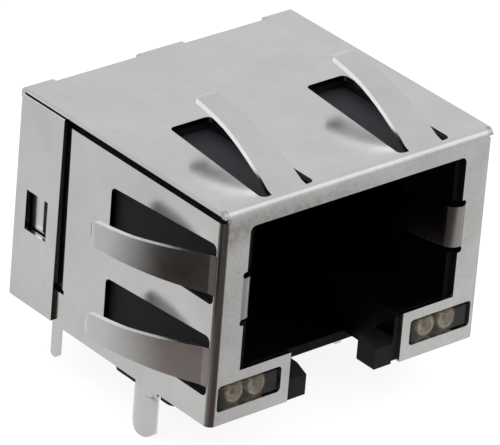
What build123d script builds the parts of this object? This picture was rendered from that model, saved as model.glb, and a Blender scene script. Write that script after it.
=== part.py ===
from build123d import *

import os
from math import cos, radians, sin, tan

# Low-profile shielded ethernet jack for a circuit board, in millimetres.
#
# The origin is midway between the two locating pegs, on the board's surface. +X is to the
# right seen from the front, +Y runs to the rear and +Z up. A place behind the front face is
# written as front plus a distance.

os.makedirs("parts", exist_ok=True)

# Sheet metal
sheet = 0.25
bend_radius = 0.35

# Shield's envelope
shield_width = 16.0
shield_height = 10.93
shield_depth = 14.86
shield_foot = 0.3
wall_top_drop = 0.55
corner_relief = 0.4

# Board side
peg_setback = 7.6
peg_spread = 6.8
peg_radius = 0.8
peg_length = 1.5
peg_chamfer = 0.2
pin_reach = 2.16

# Plug opening in the front face
opening_width = 12.82
opening_bottom = 2.86
opening_top_rim = 1.04
opening_corner = 0.3
notch_width = 6.76

# Windows for the two indicator lamps
lamp_rim_inside = 0.5
lamp_rim_outside = 0.4
lamp_window_height = 1.34
lamp_window_bottom = 1.0
lamp_window_corner = 0.2

# Spring fingers and the windows that they are cut from
top_finger_inset = 3.95
upper_finger_drop = 3.23
lower_finger_level = 3.32
finger_root_half = 1.02
finger_waist_half = 0.57
finger_waist_depth = 4.4
finger_tip_slanted_half = 0.46
finger_tip_straight_half = 0.75
finger_tip_corner = 0.45
finger_root_slope = 16.0
finger_root_run = 0.75
finger_root_radius = 0.6
finger_root_overlap = 0.005
finger_knee = 3.32
finger_knee_rise = 1.655
finger_knee_radius = 12.8
finger_end = 6.6
finger_end_rise = 2.02
finger_curl = 0.35
finger_curl_drop = 0.2
finger_curl_radius = 0.4
window_start = 0.36
window_end = 7.88
window_half_width = 1.54
top_window_taper = 0.72
side_window_taper = 0.45
window_corner = 0.3

# Ground springs at the sides of the opening
wing_bottom = 5.5
wing_height = 2.1
wing_tip_height = 1.7
wing_slit = 0.32
wing_root_run = 0.23
wing_fold_inset = 0.31
wing_fold_radius = 0.5
wing_taper_start = 0.95
wing_tip_inset = 1.41
wing_tip_depth = 3.4

# Rear door, folded down from the top plate on three bridges
bridge_edge_width = 1.6
bridge_middle_width = 2.55
plate_inset = 0.06
door_slot = 0.48
door_bottom = 0.5
door_top_drop = 0.31
door_overhang = 0.2
flap_lean = 0.12
flap_length = 3.41
latch_window_inset = 2.63
latch_window_length = 1.6
latch_window_bottom = 4.27
latch_window_height = 2.04
latch_height = 1.7
latch_gap = 0.09
latch_length = 0.55
latch_lift = 0.2

# Side wall's rear end
joggle_inset = 3.91
joggle_run = 0.35
joggle_step = 0.19
joggle_radius = 0.25
strip_top = 2.3
strip_inset = 3.31
strip_slit = 0.22
strip_slit_depth = 0.7
wall_inset = 1.1

# Board tabs of the shield
tab_centre = 4.5
tab_width = 1.56
tab_bulge = 0.22
tab_blend = 0.4
stake_width = 0.5
stake_length = 1.68
stake_taper = 0.12

# Housing
housing_gap = 0.08
housing_side_gap = 0.1
housing_joggle_gap = 0.15
housing_rear_gap = 0.36
cavity_rim = 0.41
cavity_floor_rim = 0.04
latch_way_width = 6.2
latch_way_wall = 0.6
latch_way_bottom = 0.5
floor_front = 3.43
floor_rear_gap = 0.2
floor_inset = 2.4
wing_pocket_gap = 0.07
wing_pocket_margin = 0.3
wing_pocket_run = 0.8
keeper_gap = 4.2
keeper_depth = 1.25
keeper_bottom = 0.15
keeper_front_top = 1.2
keeper_top = 1.5
keeper_ramp = 0.7
rib_width = 0.95
rib_inset = 0.15
rib_start = 2.7
rib_end = 7.2
rib_notch_gap = 0.1
pocket_depth = 0.4
pocket_margin = 0.15

# Contacts, and the tray and the carrier that hold them
contact_count = 8
contact_pitch = 1.016
contact_width = 0.4
contact_thickness = 0.25
contact_bend = 0.4
contact_cover = 0.9
contact_row_step = 2.1
contact_row_level = 1.2
contact_turn = 0.4
contact_turn_radius = 0.3
contact_end = 8.8
contact_drop = 2.29
moulding_gap = 0.02
slide_gap = 0.08
carrier_shoulder = 0.9
carrier_thickness = 1.95
carrier_front_gap = 0.05
carrier_rear_gap = 0.1
carrier_bottom = 0.35
carrier_top_gap = 0.07
tray_rim = 0.544
tray_front = 2.7
tray_thickness = 0.56
foot_length = 1.65
foot_top = 2.1

# Indicator lamps
lens_front = 0.08
lens_length = 3.5
lens_side_gap = 0.11
lens_top_gap = 0.2
lens_bottom_gap = 0.04
lens_corner = 0.12
lens_gap = 0.06
cup_spacing = 1.28
cup_radius = 0.49
cup_depth = 0.42
cup_front = 0.4
bowl_radius = 0.39
bowl_floor_radius = 0.26
bowl_depth = 0.28
lead_size = 0.4
lead_bend = 0.5
lead_gap = 0.05
inner_lead_row = 6.3
outer_lead_jog = 7.4
outer_lead_jog_length = 0.8
outer_lead_run = 0.14
die_size = 0.26
die_height = 0.12

# Values that follow from the ones above
mid_radius = bend_radius - sheet / 2
front = -peg_setback
half_width = shield_width / 2
wall_mid = half_width - sheet / 2
joggle_mid = wall_mid - joggle_step
front_mid = front + sheet / 2
shield_top = shield_foot + shield_height
wall_top = shield_top - wall_top_drop
plate_mid = shield_top - sheet / 2
door_mid = front + shield_depth - sheet / 2
door_top = shield_top - door_top_drop
flap_mid = half_width + door_overhang - sheet / 2
flap_front = shield_depth - flap_length
latch_window_front = shield_depth - latch_window_inset
latch_front = latch_window_front + latch_gap
latch_root = latch_front + latch_length
joggle_start = shield_depth - joggle_inset
strip_end = shield_depth - strip_inset
wall_end = shield_depth - wall_inset
top_finger_offset = half_width - top_finger_inset
upper_finger_level = shield_top - upper_finger_drop

# The opening, its ground springs and the lamp windows beside its notch
opening_half = opening_width / 2
opening_top = shield_top - opening_top_rim
wing_root = opening_half + wing_root_run
wing_fold = opening_half - wing_fold_inset
wing_tip = opening_half - wing_tip_inset
lamp_window_inside = notch_width / 2 + lamp_rim_inside
lamp_window_width = half_width - lamp_rim_outside - lamp_window_inside
lamp_offset = lamp_window_inside + lamp_window_width / 2

# The mouldings inside the shield
housing_front = front + sheet + moulding_gap
housing_top = shield_top - sheet - housing_gap
housing_half = half_width - sheet - housing_side_gap
housing_rear_half = joggle_mid - sheet / 2 - housing_side_gap
housing_narrows = joggle_start - housing_joggle_gap
housing_end = shield_depth - housing_rear_gap
carrier_end = housing_end - carrier_rear_gap
carrier_front = carrier_end - carrier_thickness
carrier_top = opening_top - carrier_top_gap
tray_bottom = carrier_top - tray_thickness
foot_front = carrier_front - foot_length
cavity_width = opening_width - 2 * cavity_rim
cavity_bottom = opening_bottom + cavity_floor_rim
cavity_depth = carrier_front - carrier_front_gap
latch_way_depth = foot_front - latch_way_wall
floor_end = foot_front - floor_rear_gap
floor_width = shield_width - 2 * floor_inset
wing_pocket_depth = wing_tip_depth + wing_pocket_run
rib_outside = half_width - rib_inset
rib_inside = rib_outside - rib_width

# Contacts and lamps
contact_columns = [contact_pitch * (i - (contact_count - 1) / 2) for i in range(contact_count)]
contact_level = carrier_top - tray_thickness / 2
contact_end_level = contact_level - contact_drop
contact_back = carrier_end - contact_cover
tray_width = contact_columns[-1] - contact_columns[0] + contact_width + 2 * tray_rim
carrier_width = tray_width + 2 * carrier_shoulder
cup_end = cup_front + cup_depth
inner_lead = lamp_offset - cup_spacing / 2
outer_lead = lamp_offset + cup_spacing / 2
outer_lead_row = outer_lead_jog + outer_lead_jog_length + outer_lead_run + lead_bend
lens_width = lamp_window_width - 2 * lens_side_gap
lens_bottom = lamp_window_bottom + lens_bottom_gap
lens_height = lamp_window_height - lens_bottom_gap - lens_top_gap
lens_level = lens_bottom + lens_height / 2


def block(low, high, mode=Mode.ADD):
    """A box given by its lowest and its highest corner."""
    centre = [(a + b) / 2 for a, b in zip(low, high)]
    size = [b - a for a, b in zip(low, high)]
    with Locations(tuple(centre)):
        Box(*size, mode=mode)


def both_sides(low, high, mode=Mode.ADD):
    """The same box at the right and, mirrored, at the left."""
    block(low, high, mode)
    block((-high[0], low[1], low[2]), (-low[0], high[1], high[2]), mode)


def strip_in_plan(points, radii, bottom, top):
    """Sheet bent along a line seen from above, between two heights."""
    with BuildSketch(Plane.XY.offset(bottom)) as plan:
        with BuildLine():
            FilletPolyline(*points, radius=radii)
        trace(line_width=sheet)
    extrude(plan.sketch, amount=top - bottom)


def strip_in_profile(points, radii, left, right, thickness=sheet, mode=Mode.ADD):
    """Sheet bent along a line seen from the side, between two X places."""
    with BuildSketch(Plane.YZ.offset(left)) as profile:
        with BuildLine():
            FilletPolyline(*points, radius=radii)
        trace(line_width=thickness)
    extrude(profile.sketch, amount=right - left, mode=mode)


def there_and_back(points):
    """A line's points followed by their mirror images, from left to right."""
    return points + [(-x, y) for x, y in reversed(points)]


# Panels that carry fingers: x runs across the finger, y to the rear and z outwards
top_panels = [
    Plane(origin=(x, front, shield_top), x_dir=(1, 0, 0), z_dir=(0, 0, 1))
    for x in (-top_finger_offset, top_finger_offset)
]
left_panels = [
    Plane(origin=(-half_width, front, z), x_dir=(0, 0, 1), z_dir=(-1, 0, 0))
    for z in (upper_finger_level, lower_finger_level)
]
right_panels = [
    Plane(origin=(half_width, front, z), x_dir=(0, 0, -1), z_dir=(1, 0, 0))
    for z in (upper_finger_level, lower_finger_level)
]


def finger_windows(panels, slant, taper):
    """Windows that the fingers spring from; the edge at x times slant leans inwards."""
    with BuildSketch(*panels) as windows:
        with BuildLine():
            Polyline(
                (slant * window_half_width, window_start),
                (-slant * window_half_width, window_start),
                (-slant * window_half_width, window_end),
                (slant * (window_half_width - taper), window_end),
                close=True,
            )
        outline = make_face()
        fillet(outline.vertices(), radius=window_corner)
    extrude(windows.sketch, amount=-1.5 * sheet, mode=Mode.SUBTRACT)


# A finger in a panel's own frame: it leaves the front bend before the bend is full, rises
# steeply, levels off in one long curve and curls down at its free end; it narrows on the side
# of the window's slanted edge
root_distance = mid_radius - finger_root_overlap
root_start = bend_radius - root_distance * sin(radians(finger_root_slope))
root_start_rise = root_distance * cos(radians(finger_root_slope)) - bend_radius
root_climb = (finger_root_run - root_start) * tan(radians(finger_root_slope))
with BuildPart() as finger:
    with BuildSketch(Plane.YZ.offset(-2 * finger_root_half)):
        with BuildLine():
            FilletPolyline(
                (root_start, root_start_rise),
                (finger_root_run, root_start_rise + root_climb),
                (finger_knee, finger_knee_rise - sheet / 2),
                (finger_end, finger_end_rise - sheet / 2),
                (finger_end + finger_curl, finger_end_rise - finger_curl_drop - sheet / 2),
                radius=[finger_root_radius, finger_knee_radius, finger_curl_radius],
            )
        trace(line_width=sheet)
    extrude(amount=4 * finger_root_half)
    with BuildSketch(Plane.XY.offset(-sheet)):
        with BuildLine():
            Polyline(
                (-finger_root_half, 0),
                (finger_root_half, 0),
                (finger_tip_straight_half, finger_end + finger_curl),
                (-finger_tip_slanted_half, finger_end + finger_curl),
                (-finger_waist_half, finger_waist_depth),
                close=True,
            )
        outline = make_face()
        fillet(outline.vertices().group_by(Axis.Y)[-1], radius=finger_tip_corner)
    extrude(amount=finger_end_rise + 2 * sheet, mode=Mode.INTERSECT)

# The left ground spring: it folds in from the edge of the opening and narrows to its tip
with BuildPart() as wing:
    wing_mid_level = wing_bottom + wing_height / 2
    strip_in_plan(
        [
            (-wing_root - sheet, front_mid),
            (-wing_fold, front_mid),
            (-wing_tip, front + wing_tip_depth),
        ],
        wing_fold_radius,
        wing_bottom,
        wing_bottom + wing_height,
    )
    with BuildSketch(Plane.YZ.offset(-half_width)):
        with BuildLine():
            Polyline(
                (front, wing_mid_level - wing_height / 2),
                (front + wing_taper_start, wing_mid_level - wing_height / 2),
                (front + wing_tip_depth + sheet, wing_mid_level - wing_tip_height / 2),
                (front + wing_tip_depth + sheet, wing_mid_level + wing_tip_height / 2),
                (front + wing_taper_start, wing_mid_level + wing_height / 2),
                (front, wing_mid_level + wing_height / 2),
                close=True,
            )
        make_face()
    extrude(amount=half_width, mode=Mode.INTERSECT)

# The left board tab: flat where it leaves the wall, then a gutter with a round end
with BuildPart() as tab:
    gutter_top = shield_foot - tab_blend
    tab_start = front + tab_centre - tab_width / 2
    tab_end = front + tab_centre + tab_width / 2
    with BuildSketch(Plane.XY.offset(gutter_top)) as gutter:
        with BuildLine():
            ThreePointArc(
                (-wall_mid, tab_start),
                (-wall_mid - tab_bulge, front + tab_centre),
                (-wall_mid, tab_end),
            )
        trace(line_width=sheet)
    with BuildSketch(Plane.XY.offset(gutter_top + tab_blend)) as root:
        with BuildLine():
            Line((-wall_mid, tab_start), (-wall_mid, tab_end))
        trace(line_width=sheet)
    loft()
    extrude(gutter.sketch, amount=-gutter_top - pin_reach)
    with BuildSketch(Plane.YZ.offset(-half_width - 2 * sheet)):
        with Locations((front + tab_centre, (shield_top - pin_reach) / 2)):
            Rectangle(tab_width + sheet, shield_top + pin_reach)
        fillet(vertices().group_by(Axis.Y)[0], radius=tab_width / 2)
    extrude(amount=4 * sheet, mode=Mode.INTERSECT)

# The left latch: a tongue lanced out of the joggled wall, facing the front
latch_bottom = latch_window_bottom + (latch_window_height - latch_height) / 2
with BuildPart() as latch:
    strip_in_plan(
        [
            (-joggle_mid, front + latch_root + sheet),
            (-joggle_mid, front + latch_root),
            (-joggle_mid - latch_lift, front + latch_front),
        ],
        [joggle_radius],
        latch_bottom,
        latch_bottom + latch_height,
    )

# The shield: front face, top plate, side walls and rear door, folded from one sheet
with BuildPart() as shield:
    strip_in_plan(
        there_and_back([
            (-joggle_mid, front + wall_end),
            (-joggle_mid, front + joggle_start + joggle_run),
            (-wall_mid, front + joggle_start),
            (-wall_mid, front_mid),
        ]),
        [joggle_radius, joggle_radius, mid_radius, mid_radius, joggle_radius, joggle_radius],
        strip_top,
        wall_top,
    )
    strip_in_plan(
        there_and_back([(-wall_mid, front + strip_end), (-wall_mid, front_mid)]),
        mid_radius,
        shield_foot,
        strip_top,
    )
    both_sides(
        (half_width - 2 * sheet, front + strip_end - strip_slit_depth, strip_top - strip_slit),
        (half_width + sheet, front + strip_end + sheet, strip_top),
        Mode.SUBTRACT,
    )

    # Top plate, its front bend and the three bridges to the door
    plate_half = half_width - plate_inset
    strip_in_profile(
        [(front_mid, wall_top), (front_mid, plate_mid), (front + shield_depth - door_slot, plate_mid)],
        mid_radius,
        -plate_half,
        plate_half,
    )
    both_sides(
        (half_width - corner_relief, front - sheet, wall_top),
        (half_width + sheet, front + sheet + moulding_gap, shield_top - sheet - plate_inset),
        Mode.SUBTRACT,
    )
    bridges = [
        (-plate_half, -plate_half + bridge_edge_width),
        (-bridge_middle_width / 2, bridge_middle_width / 2),
        (plate_half - bridge_edge_width, plate_half),
    ]
    for left, right in bridges:
        strip_in_profile(
            [
                (front + shield_depth - door_slot - sheet, plate_mid),
                (door_mid, plate_mid),
                (door_mid, door_top - sheet),
            ],
            mid_radius,
            left,
            right,
        )

    # Rear door with its two side flaps, which lean inwards towards the top
    for level, lean in ((door_bottom, 0), (door_top, flap_lean)):
        with BuildSketch(Plane.XY.offset(level)):
            with BuildLine():
                FilletPolyline(
                    *there_and_back([
                        (lean - flap_mid, front + flap_front),
                        (lean - flap_mid, door_mid),
                    ]),
                    radius=mid_radius,
                )
            trace(line_width=sheet)
    loft()
    both_sides(
        (flap_mid - sheet, front + latch_window_front, latch_window_bottom),
        (
            half_width + 2 * door_overhang,
            front + latch_window_front + latch_window_length,
            latch_window_bottom + latch_window_height,
        ),
        Mode.SUBTRACT,
    )
    both_sides(
        (half_width - 3 * sheet, front + latch_front - 2 * sheet, latch_bottom - moulding_gap),
        (flap_mid - sheet, front + latch_root, latch_bottom + latch_height + moulding_gap),
        Mode.SUBTRACT,
    )

    # Plug opening with its notch, the slits beside the ground springs and the lamp windows
    with BuildSketch(Plane.XZ.offset(-front + sheet)):
        with Locations((0, (opening_bottom + opening_top) / 2)):
            Rectangle(opening_width, opening_top - opening_bottom)
        fillet(vertices().group_by(Axis.Y)[-1], radius=opening_corner)
        with Locations((0, opening_bottom / 2)):
            Rectangle(notch_width, opening_bottom + 2 * sheet)
        wing_level = wing_bottom + wing_height / 2
        with Locations((0, wing_level)):
            with GridLocations(
                opening_half + wing_root - wing_slit, wing_height + wing_slit, 2, 2
            ):
                RectangleRounded(wing_root - opening_half + wing_slit, wing_slit, wing_slit / 2.1)
        with Locations((0, lamp_window_bottom + lamp_window_height / 2)):
            with GridLocations(2 * lamp_offset, 0, 2, 1):
                RectangleRounded(lamp_window_width, lamp_window_height, lamp_window_corner)
    extrude(amount=-3 * sheet, mode=Mode.SUBTRACT)

    # Fingers
    finger_windows(top_panels, -1, top_window_taper)
    finger_windows(left_panels, 1, side_window_taper)
    finger_windows(right_panels, -1, side_window_taper)
    for panel in top_panels + right_panels:
        add(panel.location * finger.part)
    mirrored_finger = mirror(finger.part, about=Plane.YZ, mode=Mode.PRIVATE)
    for panel in left_panels:
        add(panel.location * mirrored_finger)

    # Ground springs, tabs, latches and the stakes at the rear
    for detail in (wing, tab, latch):
        add(detail.part)
        add(mirror(detail.part, about=Plane.YZ, mode=Mode.PRIVATE))
    for side in (-1, 1):
        with BuildSketch(Plane.YZ.offset(side * wall_mid - sheet / 2)):
            with BuildLine():
                Polyline(
                    (front + strip_end - stake_width, strip_top / 2),
                    (front + strip_end, strip_top / 2),
                    (front + strip_end, shield_foot - stake_length + stake_taper),
                    (front + strip_end - stake_taper, shield_foot - stake_length),
                    (front + strip_end - stake_width + stake_taper, shield_foot - stake_length),
                    (front + strip_end - stake_width, shield_foot - stake_length + stake_taper),
                    close=True,
                )
            make_face()
        extrude(amount=sheet)

shield.part.label = "shield"
export_step(shield.part, "parts/shield.step")

# Housing: the black moulding that fills the shield
with BuildPart() as housing:
    block(
        (-housing_half, housing_front, shield_foot),
        (housing_half, front + housing_end, housing_top),
    )
    both_sides(
        (housing_rear_half, front + housing_narrows, 0),
        (half_width, front + shield_depth, shield_top),
        Mode.SUBTRACT,
    )

    # Plug cavity, and the way below it for the plug's latch, open to the board at its front
    block(
        (-cavity_width / 2, front, cavity_bottom),
        (cavity_width / 2, front + cavity_depth, opening_top),
        Mode.SUBTRACT,
    )
    block(
        (-latch_way_width / 2, front, latch_way_bottom),
        (latch_way_width / 2, front + latch_way_depth, opening_top),
        Mode.SUBTRACT,
    )
    block(
        (-latch_way_width / 2, front, 0),
        (latch_way_width / 2, front + floor_front, opening_top),
        Mode.SUBTRACT,
    )
    both_sides(
        (cavity_width / 2 - sheet, front, wing_bottom - wing_pocket_margin),
        (
            wing_root + wing_pocket_gap,
            front + wing_pocket_depth,
            wing_bottom + wing_height + wing_pocket_margin,
        ),
        Mode.SUBTRACT,
    )

    # Shallow pockets under the windows of the top plate
    for side in (-1, 1):
        block(
            (
                side * top_finger_offset - window_half_width - pocket_margin,
                front + window_start + pocket_margin,
                housing_top - pocket_depth,
            ),
            (
                side * top_finger_offset + window_half_width + pocket_margin,
                front + window_end + pocket_margin,
                shield_top,
            ),
            Mode.SUBTRACT,
        )

    # Shoulders at the front of the latch way that the plug's latch catches behind
    for side in (-1, 1):
        with BuildSketch(Plane.YZ.offset(side * (keeper_gap + latch_way_width) / 4)):
            with BuildLine():
                Polyline(
                    (housing_front, keeper_bottom),
                    (housing_front, keeper_front_top),
                    (housing_front + keeper_ramp, keeper_top),
                    (housing_front + keeper_depth, keeper_top),
                    (housing_front + keeper_depth, keeper_bottom),
                    close=True,
                )
            make_face()
        extrude(amount=(latch_way_width - keeper_gap) / 4 + moulding_gap, both=True)

    # Seat on the board: the floor plate, the side ribs and the two pegs
    with BuildSketch(Plane.XZ.offset(-front - floor_front)):
        with BuildLine():
            Polyline(
                (-floor_width / 2, 0),
                (floor_width / 2, 0),
                (floor_width / 2, latch_way_bottom),
                (-floor_width / 2, latch_way_bottom),
                close=True,
            )
        make_face()
    extrude(amount=floor_front - floor_end)
    for side in (-1, 1):
        with BuildSketch():
            with Locations(
                (side * (rib_inside + rib_outside) / 2, front + (rib_start + rib_end) / 2)
            ):
                SlotOverall(rib_end - rib_start, rib_width, rotation=90)
        extrude(amount=shield_foot - moulding_gap)
        with Locations((side * peg_spread / 2, 0, latch_way_bottom)):
            Cylinder(
                peg_radius,
                latch_way_bottom + peg_length,
                align=(Align.CENTER, Align.CENTER, Align.MAX),
            )
    both_sides(
        (rib_inside, front + rib_start + rib_width / 2, shield_foot / 2),
        (housing_half, front + rib_end - rib_width / 2, 2 * shield_foot),
    )
    both_sides(
        (
            housing_half - moulding_gap,
            front + tab_centre - tab_width / 2 - rib_notch_gap,
            -shield_foot,
        ),
        (half_width, front + tab_centre + tab_width / 2 + rib_notch_gap, shield_foot),
        Mode.SUBTRACT,
    )
    chamfer(faces().filter_by(Axis.Z).group_by(Axis.Z)[0].edges(), length=peg_chamfer)

    # Pockets for the lamps, with slots below for their leads
    both_sides(
        (lamp_offset - lens_width / 2 - lens_gap, front, lens_bottom - lens_gap),
        (
            lamp_offset + lens_width / 2 + lens_gap,
            front + lens_front + lens_length + lens_gap,
            lens_bottom + lens_height + lens_gap,
        ),
        Mode.SUBTRACT,
    )
    slot_half = lead_size / 2 + lead_gap
    slot_front = front + lens_front + lens_length - lens_gap
    both_sides(
        (inner_lead - slot_half, slot_front, -lens_level),
        (inner_lead + slot_half, front + inner_lead_row + slot_half, lens_level + slot_half),
        Mode.SUBTRACT,
    )
    both_sides(
        (outer_lead - slot_half, slot_front, -lens_level),
        (
            outer_lead + slot_half,
            front + outer_lead_jog + outer_lead_jog_length / 2,
            lens_level + slot_half,
        ),
        Mode.SUBTRACT,
    )
    both_sides(
        (inner_lead - slot_half, front + outer_lead_jog - slot_half, -lens_level),
        (outer_lead + slot_half, front + outer_lead_row + slot_half, lens_level + slot_half),
        Mode.SUBTRACT,
    )

    # Rear pocket for the contacts' carrier, and the recess for its foot
    block(
        (-carrier_width / 2 - slide_gap, front + cavity_depth, -shield_foot),
        (carrier_width / 2 + slide_gap, front + shield_depth, carrier_top + slide_gap),
        Mode.SUBTRACT,
    )
    block(
        (-tray_width / 2 - slide_gap, front + foot_front - slide_gap, -shield_foot),
        (tray_width / 2 + slide_gap, front + shield_depth, foot_top + slide_gap),
        Mode.SUBTRACT,
    )

housing.part.label = "housing"
export_step(housing.part, "parts/housing.step")


def contact_line(i):
    """The line of one contact, seen from the side; every second one meets the board nearer."""
    back = front + contact_back
    line = [(back, contact_level), (front + contact_turn, contact_level)]
    line.append((front + contact_end, contact_end_level))
    if i % 2 == 0:
        return [(back, -pin_reach)] + line, [contact_bend, contact_turn_radius]
    near = back - contact_row_step
    foot = [(near, -pin_reach), (near, contact_row_level), (back, contact_row_level)]
    return foot + line, [contact_bend, contact_bend, contact_bend, contact_turn_radius]


# Eight spring contacts, side by side
contacts = []
for i, x in enumerate(contact_columns):
    with BuildPart() as contact:
        points, radii = contact_line(i)
        strip_in_profile(
            points, radii, x - contact_width / 2, x + contact_width / 2, contact_thickness
        )
    contact.part.label = f"contact_{i + 1}"
    export_step(contact.part, f"parts/contact_{i + 1}.step")
    contacts.append(contact.part)


def contact_channels():
    """Cuts the contacts' channels in the moulding that is being built."""
    for i, x in enumerate(contact_columns):
        points, radii = contact_line(i)
        strip_in_profile(
            points,
            radii,
            x - contact_width / 2 - moulding_gap,
            x + contact_width / 2 + moulding_gap,
            contact_thickness + 2 * moulding_gap,
            Mode.SUBTRACT,
        )


# Carrier that holds the contacts' upright runs: a block with a foot below
with BuildPart() as contact_carrier:
    block(
        (-carrier_width / 2, front + carrier_front, carrier_bottom),
        (carrier_width / 2, front + carrier_end, carrier_top),
    )
    block(
        (-tray_width / 2, front + foot_front, carrier_bottom),
        (tray_width / 2, front + carrier_front, foot_top),
    )
    contact_channels()

contact_carrier.part.label = "contact_carrier"
export_step(contact_carrier.part, "parts/contact_carrier.step")

# Tray that holds the contacts' level runs under the cavity's roof
with BuildPart() as contact_tray:
    block(
        (-tray_width / 2, front + tray_front, tray_bottom),
        (tray_width / 2, front + carrier_front, carrier_top),
    )
    contact_channels()

contact_tray.part.label = "contact_tray"
export_step(contact_tray.part, "parts/contact_tray.step")

# Indicator lamps: each lens holds two leads with a cup at the front and a die in the cup
for name, side in (("left", -1), ("right", 1)):
    insides = []
    for row, x in (("inner", side * inner_lead), ("outer", side * outer_lead)):
        with BuildPart() as lead:
            with BuildSketch(Plane.XZ.offset(-front - cup_front)):
                with Locations((x, lens_level)):
                    Circle(cup_radius)
            extrude(amount=-cup_depth)
            if row == "inner":
                strip_in_profile(
                    [
                        (front + cup_end - moulding_gap, lens_level),
                        (front + inner_lead_row, lens_level),
                        (front + inner_lead_row, -pin_reach),
                    ],
                    lead_bend,
                    x - lead_size / 2,
                    x + lead_size / 2,
                    lead_size,
                )
            else:
                with BuildSketch(Plane.XY.offset(lens_level - lead_size / 2)):
                    with BuildLine():
                        Polyline(
                            (x, front + cup_end - moulding_gap),
                            (x, front + outer_lead_jog),
                            (side * inner_lead, front + outer_lead_jog + outer_lead_jog_length),
                            (side * inner_lead, front + outer_lead_row - lead_bend),
                        )
                    trace(line_width=lead_size)
                extrude(amount=lead_size)
                strip_in_profile(
                    [
                        (front + outer_lead_jog + outer_lead_jog_length + moulding_gap, lens_level),
                        (front + outer_lead_row, lens_level),
                        (front + outer_lead_row, -pin_reach),
                    ],
                    lead_bend,
                    side * inner_lead - lead_size / 2,
                    side * inner_lead + lead_size / 2,
                    lead_size,
                )
            with BuildSketch(Plane.XZ.offset(-front - cup_front)):
                with Locations((x, lens_level)):
                    Circle(bowl_radius)
            with BuildSketch(Plane.XZ.offset(-front - cup_front - bowl_depth)):
                with Locations((x, lens_level)):
                    Circle(bowl_floor_radius)
            loft(mode=Mode.SUBTRACT)
        lead.part.label = f"led_{name}_{row}_lead"
        export_step(lead.part, f"parts/{lead.part.label}.step")

        with BuildPart() as die:
            block(
                (
                    x - die_size / 2,
                    front + cup_front + bowl_depth - die_height,
                    lens_level - die_size / 2,
                ),
                (
                    x + die_size / 2,
                    front + cup_front + bowl_depth,
                    lens_level + die_size / 2,
                ),
            )
        die.part.label = f"led_{name}_{row}_die"
        export_step(die.part, f"parts/{die.part.label}.step")
        insides += [lead.part, die.part]

    with BuildPart() as lens:
        block(
            (side * lamp_offset - lens_width / 2, front + lens_front, lens_bottom),
            (
                side * lamp_offset + lens_width / 2,
                front + lens_front + lens_length,
                lens_bottom + lens_height,
            ),
        )
        fillet(edges(), radius=lens_corner)
        for inside in insides:
            add(inside, mode=Mode.SUBTRACT)
    lens.part.label = f"led_{name}_lens"
    export_step(lens.part, f"parts/{lens.part.label}.step")
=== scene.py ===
"""A shielded ethernet jack for a circuit board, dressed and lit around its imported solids."""

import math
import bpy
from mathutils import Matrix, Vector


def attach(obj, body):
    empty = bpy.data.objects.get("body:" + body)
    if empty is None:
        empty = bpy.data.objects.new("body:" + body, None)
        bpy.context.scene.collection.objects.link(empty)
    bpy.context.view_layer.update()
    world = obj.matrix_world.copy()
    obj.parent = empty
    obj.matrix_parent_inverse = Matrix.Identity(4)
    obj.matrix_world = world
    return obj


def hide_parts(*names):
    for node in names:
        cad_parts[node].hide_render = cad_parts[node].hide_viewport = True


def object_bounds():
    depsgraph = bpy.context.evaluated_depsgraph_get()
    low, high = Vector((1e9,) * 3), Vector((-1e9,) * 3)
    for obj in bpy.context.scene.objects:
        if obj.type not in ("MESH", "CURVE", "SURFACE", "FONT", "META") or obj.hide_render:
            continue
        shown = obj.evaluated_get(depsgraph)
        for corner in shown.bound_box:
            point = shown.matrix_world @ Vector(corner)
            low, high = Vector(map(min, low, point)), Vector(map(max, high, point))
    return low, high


bl_info = {
    "name": "Shielded Ethernet Jack",
    "version": (1, 0, 0),
    "blender": (4, 5, 0),
    "location": "View3D > Sidebar > Jack",
    "description": "Plated shield, moulded housing, contact springs, lamps and stage of a board jack",
    "category": "Add Mesh",
}

import bmesh
import bpy
from bpy.props import FloatProperty, FloatVectorProperty, IntProperty, PointerProperty
from mathutils import Matrix, Vector

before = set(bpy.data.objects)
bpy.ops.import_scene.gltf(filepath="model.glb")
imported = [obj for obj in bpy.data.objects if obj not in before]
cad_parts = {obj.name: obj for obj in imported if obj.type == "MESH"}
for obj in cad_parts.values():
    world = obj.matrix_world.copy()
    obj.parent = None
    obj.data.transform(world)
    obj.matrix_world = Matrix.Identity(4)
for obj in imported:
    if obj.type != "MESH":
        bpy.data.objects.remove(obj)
CAD_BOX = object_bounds()

MM = 0.001

# Places that the materials and the stage need, in millimetres in the row frame. Depths are
# measured from the front face
FRONT = -7.6
SHIELD_TOP = 11.23
WALL_FACE = 8.0
BEND_REACH = 0.34
STAKE_TOP = 0.3
FLAP_FRONT = 11.45
WING_ROOT = 6.62
WING_LOW = 5.45
WING_HIGH = 7.65
WING_REACH = 6.0
WING_FOLD = 0.6
CAVITY_HALF = 6.6
CAVITY_BOTTOM = 2.6
CAVITY_BACK = 12.6
CAVITY_TOP = 10.25
LATCH_WAY_HALF = 3.14
LATCH_WAY_BOTTOM = -0.3
KEEPER_TOP = 1.55
KEEPER_DEPTH = 1.6
LAMP_OFFSET = 5.74
LAMP_LEVEL = 1.59
LENS_FRONT = 0.08
LENS_END = 3.58
HOLLOW_HALF = 1.6
HOLLOW_RISE = 0.52
CUP_END = 0.82
CORNER = (-WALL_FACE * MM, FRONT * MM, 0.0)

# The contacts' path, in millimetres: depths from the front face and levels over the board
CONTACT_BACK = 13.5
CONTACT_TOP = 9.84
CONTACT_FOLD = 0.4
CONTACT_TIP_DEPTH = 8.8
CONTACT_TIP_LEVEL = 7.55
PIN_END = -2.16
PIN_STEP = 2.1
PIN_STEP_LEVEL = 1.2

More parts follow.
